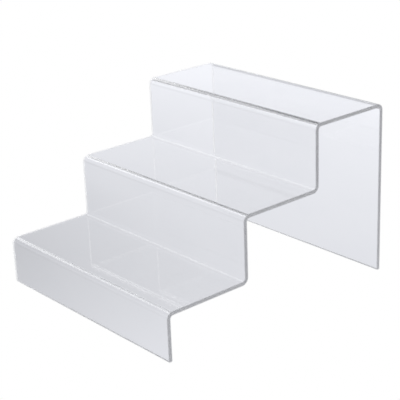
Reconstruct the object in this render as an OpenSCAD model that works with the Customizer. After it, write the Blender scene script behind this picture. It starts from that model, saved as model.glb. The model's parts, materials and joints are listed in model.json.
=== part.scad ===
// Tiered shelf riser: three open steps formed from one clear acrylic sheet.
// The sheet is cut to a plain rectangle and heat-bent along six parallel lines:
// a short front lip, three treads with two risers between them, and a full-height back.
// Both ends are open, and the riser stands on the cut edges of the lip and the back.
// +X runs along the bend lines, +Y from the lip to the back, +Z up.
// The origin is on the floor under the middle of the footprint.

/* [Sheet] */
// Width of the sheet, along the bend lines
sheet_w = 210; // [100:5:600]
// Thickness of the sheet
sheet_t = 3; // [2:0.5:6]
// Radius on the inside of every bend
bend_r = 3; // [1:0.5:8]

/* [Steps] */
// How many treads the riser has
tread_count = 3; // [1:1:6]
// Depth of a tread, from its front edge to the face of the riser behind it
tread_depth = 80; // [40:5:200]
// Height of the lowest tread's top above the floor
lip_height = 41; // [20:1:120]
// Rise from one tread's top to the next
riser_height = 55; // [25:1:150]

/* [Hidden] */
// Radius on the outside of every bend
outer_r = bend_r + sheet_t;
footprint_depth = tread_count * tread_depth;
last_tread = tread_count - 1;
// Front edge and top of tread i, counted from the lip; the lip's face is at 0
function tread_front(i) = i * tread_depth;
function tread_top(i) = lip_height + i * riser_height;
// Segments of a full circle
facets = 96;

// A flat stretch of the sheet seen from its end, between two opposite corners
module flat(from, to) {
    translate(from) square(to - from);
}

// A quarter bend seen from its end: centre is the middle of both radii,
// and side gives the quarter it fills, -1 or 1 along each direction
module bend(centre, side) {
    translate(centre) intersection() {
        difference() {
            circle(r = outer_r, $fn = facets);
            circle(r = bend_r, $fn = facets);
        }
        translate([min(side[0], 0), min(side[1], 0)] * outer_r) square(outer_r);
    }
}

// Front lip, up to where the first bend starts
module lip() {
    flat([0, 0], [sheet_t, lip_height - outer_r]);
}

// Bend over the front edge of tread i, and the tread as far as its rear bend
module tread(i) {
    rear_setback = i == last_tread ? outer_r : bend_r;
    bend([tread_front(i) + outer_r, tread_top(i) - outer_r], [-1, 1]);
    flat([tread_front(i) + outer_r, tread_top(i) - sheet_t],
         [tread_front(i + 1) - rear_setback, tread_top(i)]);
}

// Bend up behind tread i, and the riser as far as the next tread's front bend
module riser(i) {
    face = tread_front(i + 1);
    bend([face - bend_r, tread_top(i) + bend_r], [1, -1]);
    flat([face, tread_top(i) + bend_r], [face + sheet_t, tread_top(i + 1) - outer_r]);
}

// Bend down behind the top tread, and the back panel to the floor
module back() {
    bend_height = tread_top(last_tread) - outer_r;
    bend([footprint_depth - outer_r, bend_height], [1, 1]);
    flat([footprint_depth - sheet_t, 0], [footprint_depth, bend_height]);
}

// End view of the whole bent sheet, from the lip to the back
module sheet_profile() {
    lip();
    for (i = [0 : last_tread]) tread(i);
    if (tread_count > 1) for (i = [0 : last_tread - 1]) riser(i);
    back();
}

// The bent sheet: its end view drawn out along the bend lines
module bent_sheet() {
    color([0.86, 0.9, 0.93, 0.35])
        translate([0, -footprint_depth / 2, 0])
            rotate([90, 0, 90])
                linear_extrude(height = sheet_w, center = true) sheet_profile();
}

bent_sheet();
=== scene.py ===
import json
import math

import bpy
from mathutils import Matrix, Vector


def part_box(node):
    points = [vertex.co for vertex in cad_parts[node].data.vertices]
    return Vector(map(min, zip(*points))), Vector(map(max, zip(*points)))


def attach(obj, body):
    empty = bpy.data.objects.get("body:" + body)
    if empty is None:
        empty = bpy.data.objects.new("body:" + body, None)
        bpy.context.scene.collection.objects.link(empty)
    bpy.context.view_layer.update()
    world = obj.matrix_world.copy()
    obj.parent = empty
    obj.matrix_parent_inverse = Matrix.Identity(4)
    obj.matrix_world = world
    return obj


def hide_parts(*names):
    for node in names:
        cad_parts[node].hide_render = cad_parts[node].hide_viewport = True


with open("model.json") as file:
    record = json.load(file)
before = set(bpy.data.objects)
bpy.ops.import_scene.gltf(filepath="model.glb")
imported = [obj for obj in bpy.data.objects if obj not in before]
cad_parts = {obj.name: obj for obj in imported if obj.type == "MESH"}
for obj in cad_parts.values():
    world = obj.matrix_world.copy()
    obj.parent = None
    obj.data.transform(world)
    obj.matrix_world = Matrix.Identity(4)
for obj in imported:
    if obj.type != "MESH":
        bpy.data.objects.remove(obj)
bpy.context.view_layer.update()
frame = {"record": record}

# The bent sheet.
# The whole riser is one rectangle of clear cast acrylic, finely sawn, heated along six lines and
# folded over a former: a lip, three treads with two rises between, and the back.
# It stands on its two long cut edges and nothing is fixed to it.
mounts = {mount["name"]: Vector(mount["pos_m"]) for mount in frame["record"]["mounts"]}
low_corner, high_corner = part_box("bent_sheet")
sheet_width = high_corner.x - low_corner.x
footprint_depth = high_corner.y - low_corner.y
sheet_thickness = 2 * (mounts["lip_foot"].y - low_corner.y)
lip_height = mounts["low_tread"].z
riser_height = mounts["middle_tread"].z - mounts["low_tread"].z
tread_count = 3
inner_bend_radius = 0.003
middle_bend_radius = inner_bend_radius + sheet_thickness / 2
# the cut edges are eased, and an edge counts as cut where its faces meet at more than this angle
eased_edge_radius = 0.0004
eased_edge_segments = 3
cut_edge_angle = math.radians(60)
# how finely the sheet is meshed: points round a bend, the longest flat step, and columns across
bend_points = 24
flat_spacing = 0.0035
columns_across = 61
# how far the heater softened the sheet on either side of a fold, as a multiple of the bend radius
heated_reach = 1.6
# a cut face is whatever lies this close to the end or the foot
cut_reach = 0.0006
# clear acrylic: how it bends light, and how strongly a metre of it darkens what runs inside
refractive_index = 1.49
absorption_colour = (0.5, 0.5, 0.5, 1)
absorption_density = 7.0
clean_colour = (1.0, 1.0, 1.0, 1)
wiped_colour = (0.985, 0.987, 0.99, 1)
frost_colour = (0.9, 0.9, 0.9, 1)
# its finish: roughness from 0 to 1, depths in millimetres, shares from 0 to 1
wiped_roughness = 0.03
hairline_roughness = 0.1
foot_roughness = 0.2
ripple_depth = 0.02
saw_mark_depth = 0.03
saw_mark_gloss = 0.06
frost_skin_share = 0.38
millimetre = 0.001


class Wire:
    """A node's output. Each operator used on it adds the Math node that works it out."""

    def __init__(self, graph, socket):
        self.graph = graph
        self.socket = socket

    def math(self, operation, *others):
        values = dict(enumerate((self, *others)))
        return self.graph.node("ShaderNodeMath", {"operation": operation}, values)

    def __add__(self, other):
        return self.math("ADD", other)

    def __sub__(self, other):
        return self.math("SUBTRACT", other)

    def __rsub__(self, other):
        return self.math("MULTIPLY_ADD", -1, other)

    def __mul__(self, other):
        return self.math("MULTIPLY", other)

    def __truediv__(self, other):
        return self.math("DIVIDE", other)

    def __gt__(self, other):
        return self.math("GREATER_THAN", other)

    def __lt__(self, other):
        return self.math("LESS_THAN", other)

    __radd__ = __add__
    __rmul__ = __mul__


class Graph:
    """A node tree, to which node() adds everything."""

    def __init__(self, tree):
        self.tree = tree
        self.tree.nodes.clear()

    def node(self, kind, settings=None, inputs=None, output=0):
        added = self.tree.nodes.new(kind)
        for name, value in (settings or {}).items():
            setattr(added, name, value)
        for name, value in (inputs or {}).items():
            if isinstance(value, Wire):
                self.tree.links.new(value.socket, added.inputs[name])
            else:
                added.inputs[name].default_value = value
        return Wire(self, added.outputs[output]) if added.outputs else added

    def outputs(self, kind, names, inputs=None):
        first = self.node(kind, inputs=inputs)
        return [Wire(self, first.socket.node.outputs[name]) for name in names]


def sheet_form(material):
    """The tree that lays out the bent sheet's middle surface, one row of points after another."""
    tree = bpy.data.node_groups.new("sheet_form", "GeometryNodeTree")
    tree.interface.new_socket("Geometry", in_out="INPUT", socket_type="NodeSocketGeometry")
    tree.interface.new_socket("Geometry", in_out="OUTPUT", socket_type="NodeSocketGeometry")
    size_kinds = {
        "Width": "Float",
        "Depth": "Float",
        "Thickness": "Float",
        "Lip Height": "Float",
        "Riser Height": "Float",
        "Treads": "Int",
        "Bend Radius": "Float",
        "Heated Reach": "Float",
        "Bend Points": "Int",
        "Flat Spacing": "Float",
        "Columns": "Int",
    }
    for name, kind in size_kinds.items():
        tree.interface.new_socket(name, in_out="INPUT", socket_type=f"NodeSocket{kind}")
    g = Graph(tree)
    width, depth, thickness, lip, rise, treads, radius, reach, points, spacing, columns = g.outputs(
        "NodeGroupInput", size_kinds
    )
    # corners of the middle line: the lip's foot, two for each tread, and the back's foot
    index = g.node("GeometryNodeInputIndex")
    corners = g.node("GeometryNodeMeshLine", inputs={"Count": 2 * treads + 2})
    step = (index / 2).math("FLOOR")
    tread = ((index - 1) / 2).math("FLOOR")
    half = thickness / 2
    y = (step * (depth / treads) + half).math("MINIMUM", depth - half) - depth / 2
    last = 2 * treads + 1
    standing = (index > 0.5) * (last - 0.5 > index)
    z = (lip + tread * rise - half) * standing
    place = g.node("ShaderNodeCombineXYZ", inputs={"Y": y, "Z": z})
    line = g.node("GeometryNodeSetPosition", inputs={"Geometry": corners, "Position": place})
    bend_lines = g.node(
        "GeometryNodeSeparateGeometry", {"domain": "POINT"}, {"Geometry": line, "Selection": standing}
    )
    line = g.node("GeometryNodeMeshToCurve", inputs={"Mesh": line})
    line = g.node(
        "GeometryNodeFilletCurve", {"mode": "POLY"}, {"Curve": line, "Radius": radius, "Count": points}
    )
    # long stretches are cut into short ones, and the bends' own points are left alone
    position = g.node("GeometryNodeInputPosition")
    following = g.node(
        "GeometryNodeFieldAtIndex", {"data_type": "FLOAT_VECTOR"}, {"Index": index + 1, "Value": position}
    )
    stretch = g.node("ShaderNodeVectorMath", {"operation": "DISTANCE"}, {0: position, 1: following}, "Value")
    line = g.node("GeometryNodeSubdivideCurve", inputs={"Curve": line, "Cuts": stretch / spacing})
    rows = g.node("GeometryNodeAttributeDomainSize", {"component": "CURVE"}, {"Geometry": line})
    grid = g.node(
        "GeometryNodeMeshGrid",
        inputs={"Size X": width, "Size Y": rows - 1, "Vertices X": columns, "Vertices Y": rows},
        output="Mesh",
    )
    x, grid_y = g.outputs("ShaderNodeSeparateXYZ", "XY", inputs={"Vector": position})
    row = (grid_y + (rows - 1) / 2).math("ROUND")
    on_line = g.node(
        "GeometryNodeSampleIndex",
        {"data_type": "FLOAT_VECTOR"},
        {"Geometry": line, "Value": position, "Index": row},
    )
    run = g.node(
        "GeometryNodeSampleIndex",
        {"data_type": "FLOAT"},
        {"Geometry": line, "Value": g.node("GeometryNodeSplineParameter", output="Length"), "Index": row},
    )
    blank = g.node("ShaderNodeCombineXYZ", inputs={"X": x, "Y": run})
    sheet = g.node(
        "GeometryNodeStoreNamedAttribute",
        {"data_type": "FLOAT_VECTOR", "domain": "POINT"},
        {"Geometry": grid, "Name": "blank", "Value": blank},
    )
    # the strips that the heater softened: all of each bend, fading out on the flats beside it
    from_bend = g.node(
        "GeometryNodeProximity",
        {"target_element": "POINTS"},
        {"Geometry": bend_lines, "Sample Position": on_line},
        "Distance",
    )
    heated = g.node(
        "ShaderNodeMapRange",
        {"interpolation_type": "SMOOTHSTEP"},
        {
            "Value": from_bend,
            "From Min": radius,
            "From Max": radius * reach,
            "To Min": 1.0,
            "To Max": 0.0,
        },
    )
    sheet = g.node(
        "GeometryNodeStoreNamedAttribute",
        {"data_type": "FLOAT", "domain": "POINT"},
        {"Geometry": sheet, "Name": "heated", "Value": heated},
    )
    y, z = g.outputs("ShaderNodeSeparateXYZ", "YZ", inputs={"Vector": on_line})
    place = g.node("ShaderNodeCombineXYZ", inputs={"X": x, "Y": y, "Z": z})
    sheet = g.node("GeometryNodeSetPosition", inputs={"Geometry": sheet, "Position": place})
    sheet = g.node("GeometryNodeSetShadeSmooth", inputs={"Geometry": sheet})
    sheet = g.node("GeometryNodeRealizeInstances", inputs={"Geometry": sheet})
    sheet = g.node("GeometryNodeSetMaterial", inputs={"Geometry": sheet, "Material": material})
    g.node("NodeGroupOutput", inputs={"Geometry": sheet})
    return tree


def clear_acrylic():
    """Colourless cast acrylic: glossy, lightly handled faces, and ends left frosted by the saw."""
    material = bpy.data.materials.new("cast_acrylic")
    material.use_nodes = True
    g = Graph(material.node_tree)
    place = g.node("ShaderNodeTexCoord", output="Object")
    x, y, z = g.outputs("ShaderNodeSeparateXYZ", "XYZ", inputs={"Vector": place})
    end_cut = x.math("ABSOLUTE") > sheet_width / 2 - cut_reach
    foot_cut = z < cut_reach
    blank = g.node("ShaderNodeAttribute", {"attribute_name": "blank"}, output="Vector")
    heated = g.node("ShaderNodeAttribute", {"attribute_name": "heated"}, output="Fac")

    def pattern(across, along, detail, low, high):
        """Cloudy noise on the flat blank, stretched as asked and then pulled to run from 0 to 1."""
        stretched = g.node("ShaderNodeMapping", inputs={"Vector": blank, "Scale": (across, along, 1)})
        noise = g.node("ShaderNodeTexNoise", inputs={"Vector": stretched, "Scale": 1.0, "Detail": detail})
        return g.node("ShaderNodeMapRange", inputs={"Value": noise, "From Min": low, "From Max": high})

    wiped = pattern(across=14, along=22, detail=4.0, low=0.45, high=0.7)
    all_hairlines = pattern(across=30, along=1900, detail=1.0, low=0.66, high=0.72)
    scuffed_patch = pattern(across=40, along=40, detail=2.0, low=0.5, high=0.6)
    hairline = all_hairlines * scuffed_patch
    ripple = pattern(across=45, along=240, detail=2.0, low=0.2, high=0.8)
    saw_mark = pattern(across=1, along=2600, detail=2.0, low=0.35, high=0.65)
    handled = wiped * wiped_roughness + hairline * hairline_roughness
    cloud = g.node(
        "ShaderNodeMix",
        {"data_type": "RGBA"},
        {"Factor": wiped, "A": clean_colour, "B": wiped_colour},
        "Result",
    )
    height = heated * ripple * ripple_depth + end_cut * saw_mark * saw_mark_depth
    relief = g.node("ShaderNodeBump", inputs={"Height": height, "Distance": millimetre})
    surface = g.node(
        "ShaderNodeBsdfPrincipled",
        inputs={
            "Base Color": cloud,
            "Roughness": handled + foot_cut * foot_roughness,
            "IOR": refractive_index,
            "Transmission Weight": 1.0,
            "Normal": relief,
        },
    )
    frost_through = g.node("ShaderNodeBsdfTranslucent", inputs={"Color": frost_colour})
    frost_skin = g.node("ShaderNodeBsdfDiffuse", inputs={"Color": frost_colour})
    frost = g.node("ShaderNodeMixShader", inputs={0: frost_skin_share, 1: frost_through, 2: frost_skin})
    sawn = end_cut * (1 - saw_mark * saw_mark_gloss)
    surface = g.node("ShaderNodeMixShader", inputs={0: sawn, 1: surface, 2: frost})
    volume = g.node(
        "ShaderNodeVolumeAbsorption", inputs={"Color": absorption_colour, "Density": absorption_density}
    )
    g.node("ShaderNodeOutputMaterial", inputs={"Surface": surface, "Volume": volume})
    return material


riser = bpy.data.objects.new("riser_sheet", bpy.data.meshes.new("riser_sheet"))
bpy.context.scene.collection.objects.link(riser)
acrylic = clear_acrylic()
form = riser.modifiers.new("form", "NODES")
form.node_group = sheet_form(acrylic)
form_sizes = {
    "Width": sheet_width,
    "Depth": footprint_depth,
    "Thickness": sheet_thickness,
    "Lip Height": lip_height,
    "Riser Height": riser_height,
    "Treads": tread_count,
    "Bend Radius": middle_bend_radius,
    "Heated Reach": heated_reach,
    "Bend Points": bend_points,
    "Flat Spacing": flat_spacing,
    "Columns": columns_across,
}
for item in form.node_group.interface.items_tree:
    if item.in_out == "INPUT" and item.name in form_sizes:
        form[item.identifier] = form_sizes[item.name]
solid = riser.modifiers.new("solid", "SOLIDIFY")
solid.thickness = sheet_thickness
solid.offset = 0
solid.use_even_offset = True
eased = riser.modifiers.new("eased_edges", "BEVEL")
eased.width = eased_edge_radius
eased.segments = eased_edge_segments
eased.angle_limit = cut_edge_angle
eased.harden_normals = True
depsgraph = bpy.context.evaluated_depsgraph_get()
finished = bpy.data.meshes.new_from_object(riser.evaluated_get(depsgraph))
riser.modifiers.clear()
riser.data = finished
finished.materials.clear()
finished.materials.append(acrylic)
finished.polygons.foreach_set("material_index", [0] * len(finished.polygons))
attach(riser, "root")
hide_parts("bent_sheet")

# The studio.
# A white table and a bright room, plain white to look at. What the sheet mirrors and bends of them
# is shaded a little darker towards the front left, the horizon and overhead, and gives its greys.
floor_level = -0.0003
floor_reach = 20.0
daylight = (0.962, 0.975, 1.028)
plain_white = (1, 1, 1, 1)
# the table's glow under the riser, and how much it gains in each metre
table_glow = 0.755
darkest_table, brightest_table = 0.5, 1.0
gain_to_back = 0.4
gain_to_right = 0.35
gain_to_right_in_front = 4.0
gain_to_left_behind = 0.2
# its glow falls off between these distances from the riser
near_table, far_table = 0.7, 2.0
far_table_share = 0.3
# the room's glow at three heights
horizon_glow, wall_glow, overhead_glow = 0.4, 1.05, 0.5

floor_mesh = bpy.data.meshes.new("floor")
floor_mesh.from_pydata(
    [(x * floor_reach, y * floor_reach, floor_level) for x, y in ((-1, -1), (1, -1), (1, 1), (-1, 1))],
    [],
    [(0, 1, 2, 3)],
)
floor = bpy.data.objects.new("floor", floor_mesh)
bpy.context.scene.collection.objects.link(floor)

paper = bpy.data.materials.new("white_table")
paper.use_nodes = True
g = Graph(paper.node_tree)
place = g.node("ShaderNodeTexCoord", output="Object")
x, y = g.outputs("ShaderNodeSeparateXYZ", "XY", inputs={"Vector": place})
front_slope = gain_to_right - y * gain_to_right_in_front
side_slope = front_slope.math("MAXIMUM", 0) - y * gain_to_left_behind
shade = table_glow + y * gain_to_back + x * side_slope
shade = shade.math("MAXIMUM", darkest_table).math("MINIMUM", brightest_table)
far = g.node(
    "ShaderNodeMapRange",
    {"interpolation_type": "SMOOTHSTEP"},
    {
        "Value": g.node("ShaderNodeVectorMath", {"operation": "LENGTH"}, {0: place}, "Value"),
        "From Min": near_table,
        "From Max": far_table,
        "To Min": 1.0,
        "To Max": far_table_share,
    },
)
shaded = g.node("ShaderNodeVectorMath", {"operation": "SCALE"}, {0: daylight, "Scale": shade * far})
seen = g.node("ShaderNodeLightPath", output="Is Camera Ray")
lit = g.node("ShaderNodeEmission", inputs={"Color": shaded, "Strength": 1.0})
bare = g.node("ShaderNodeEmission", inputs={"Color": plain_white, "Strength": 1.0})
glow = g.node("ShaderNodeMixShader", inputs={0: seen, 1: lit, 2: bare})
g.node("ShaderNodeOutputMaterial", inputs={"Surface": glow})
paper.cycles.emission_sampling = "NONE"
floor_mesh.materials.append(paper)

room = bpy.data.worlds.new("room")
room.use_nodes = True
room.cycles.sampling_method = "NONE"
g = Graph(room.node_tree)
direction = g.node("ShaderNodeTexCoord", output="Generated")
upward = g.node("ShaderNodeSeparateXYZ", inputs={"Vector": direction}, output="Z")


def band(low, high, below, above):
    """A glow that changes smoothly from one value to another between two heights in the room."""
    return g.node(
        "ShaderNodeMapRange",
        {"interpolation_type": "SMOOTHSTEP"},
        {"Value": upward, "From Min": low, "From Max": high, "To Min": below, "To Max": above},
    )


walls = band(low=0.04, high=0.24, below=horizon_glow, above=wall_glow)
ceiling = band(low=0.15, high=0.5, below=1.0, above=overhead_glow / wall_glow)
shaded = g.node("ShaderNodeVectorMath", {"operation": "SCALE"}, {0: daylight, "Scale": walls * ceiling})
seen = g.node("ShaderNodeLightPath", output="Is Camera Ray")
lit = g.node("ShaderNodeBackground", inputs={"Color": shaded, "Strength": 1.0})
bare = g.node("ShaderNodeBackground", inputs={"Color": plain_white, "Strength": 1.0})
glow = g.node("ShaderNodeMixShader", inputs={0: seen, 1: lit, 2: bare})
g.node("ShaderNodeOutputWorld", inputs={"Surface": glow})
bpy.context.scene.world = room

# The lamps.
# Two soft boxes on the left: a tall one whose reflection runs along each bend, and a wide one
# level with the sheet that lights its frosted left ends and is kept out of every reflection.
lamp_distance = 1.3


def softbox(name, towards, width, height, radiance):
    """A soft rectangular lamp hung in a direction from the riser and turned to face it."""
    data = bpy.data.lights.new(name, "AREA")
    data.shape = "RECTANGLE"
    data.size = width
    data.size_y = height
    data.energy = radiance * math.pi * width * height
    lamp = bpy.data.objects.new(name, data)
    lamp.location = Vector(towards).normalized() * lamp_distance
    lamp.rotation_euler = lamp.location.to_track_quat("Z", "Y").to_euler()
    lamp.visible_camera = False
    bpy.context.scene.collection.objects.link(lamp)
    return lamp


softbox("bend_lamp", towards=(-0.71, -0.05, 0.7), width=0.5, height=0.85, radiance=1.5)
end_lamp = softbox("end_lamp", towards=(-1.0, 0.0, 0.1), width=1.0, height=0.9, radiance=8.0)
end_lamp.visible_glossy = False
end_lamp.visible_transmission = False

# The camera.
# A long lens above the riser's right front corner, turned slightly about its own line of sight.
# Light that runs inside the sheet needs many bounces before it comes out of a cut edge.
camera_azimuth = math.radians(49.46)
camera_elevation = math.radians(20.91)
camera_roll = math.radians(-2.163)
camera_distance = 0.9927
camera_target = Vector((0.0188, -0.010, 0.0781))
sensor_width, focal_length = 36, 106.6
nearest_seen, furthest_seen = 0.01, 50
light_bounces = 64
sample_spread = 1.8

back = Vector(
    (
        math.sin(camera_azimuth) * math.cos(camera_elevation),
        -math.cos(camera_azimuth) * math.cos(camera_elevation),
        math.sin(camera_elevation),
    )
)
level_right = Vector((math.cos(camera_azimuth), math.sin(camera_azimuth), 0))
level_up = back.cross(level_right)
right = level_right * math.cos(camera_roll) + level_up * math.sin(camera_roll)
up = level_up * math.cos(camera_roll) - level_right * math.sin(camera_roll)
camera_data = bpy.data.cameras.new("camera")
camera_data.sensor_width = sensor_width
camera_data.lens = focal_length
camera_data.clip_start = nearest_seen
camera_data.clip_end = furthest_seen
camera = bpy.data.objects.new("camera", camera_data)
camera.matrix_world = Matrix((right, up, back)).transposed().to_4x4()
camera.location = camera_target + back * camera_distance
bpy.context.scene.collection.objects.link(camera)
bpy.context.scene.camera = camera
bpy.context.scene.view_settings.view_transform = "Standard"
cycles = bpy.context.scene.cycles
cycles.max_bounces = light_bounces
cycles.transmission_bounces = light_bounces
cycles.glossy_bounces = light_bounces
cycles.filter_width = sample_spread
